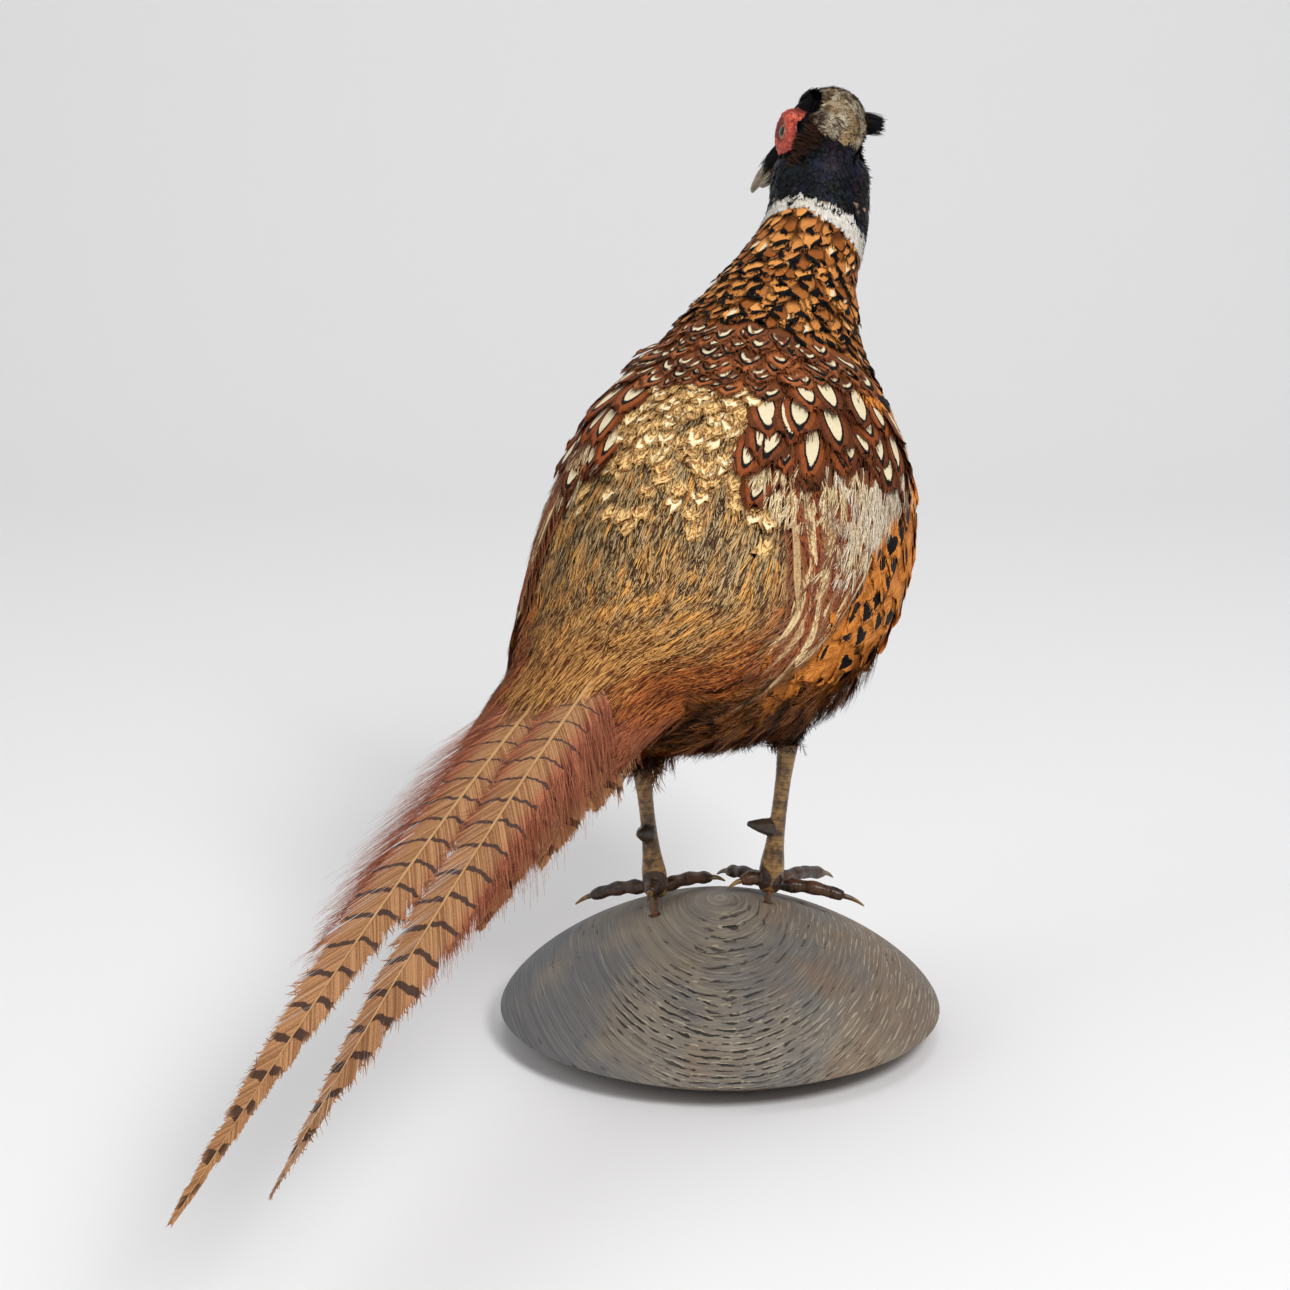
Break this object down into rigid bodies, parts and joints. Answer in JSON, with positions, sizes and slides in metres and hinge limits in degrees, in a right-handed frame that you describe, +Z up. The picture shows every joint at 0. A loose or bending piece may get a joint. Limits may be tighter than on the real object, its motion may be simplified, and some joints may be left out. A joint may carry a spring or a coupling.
{
  "type": "taxidermy ring-necked pheasant",
  "caption": "Mounted cock pheasant standing on a turned wooden dome, head turned to look over its shoulder, with a long barred tail held low.",
  "frame": {"origin": "centre of the flat underside of the wooden dome", "axes": "+Z up; the trunk faces -Y and the tail points +Y; the bird's left side is +X"},
  "size_m": [0.205, 0.5824, 0.4284],
  "materials": {
    "weathered_wood": "weathered, open grain, no lacquer",
    "steel_wire": "dull wire",
    "plumage": "overlapping feathers, copper, chestnut and buff",
    "dark_plumage": "short glossy blue-black feathers",
    "wattle_skin": "bare papillose skin",
    "eye": "glossy glass eye, opaque, amber with a black pupil",
    "horn": "satin horn",
    "leg_scale": "dry scales with a slight sheen",
    "tail_vane": "buff-brown feather vane with dark bars"
  },
  "bodies": {
    "root": {"base_dome": "weathered_wood", "bill_lower": "horn", "bill_upper": "horn", "claw_hind_left": "horn", "claw_hind_right": "horn", "claw_inner_left": "horn", "claw_inner_right": "horn", "claw_middle_left": "horn", "claw_middle_right": "horn", "claw_outer_left": "horn", "claw_outer_right": "horn", "ear_tuft_left": "dark_plumage", "ear_tuft_right": "dark_plumage", "eye_left": "eye", "eye_right": "eye", "head": "dark_plumage", "mount_wire_left": "steel_wire", "mount_wire_right": "steel_wire", "neck": "plumage", "rump": "plumage", "spur_left": "horn", "spur_right": "horn", "tail_central_left": "tail_vane", "tail_central_right": "tail_vane", "tail_outer_left": "tail_vane", "tail_outer_right": "tail_vane", "tail_second_left": "tail_vane", "tail_second_right": "tail_vane", "tail_third_left": "tail_vane", "tail_third_right": "tail_vane", "tarsus_left": "leg_scale", "tarsus_right": "leg_scale", "thigh_left": "plumage", "thigh_right": "plumage", "toe_hind_left": "leg_scale", "toe_hind_right": "leg_scale", "toe_inner_left": "leg_scale", "toe_inner_right": "leg_scale", "toe_middle_left": "leg_scale", "toe_middle_right": "leg_scale", "toe_outer_left": "leg_scale", "toe_outer_right": "leg_scale", "trunk": "plumage", "undertail": "plumage", "wattle_left": "wattle_skin", "wattle_right": "wattle_skin", "wing_left": "plumage", "wing_right": "plumage"}
  },
  "joints": []
}
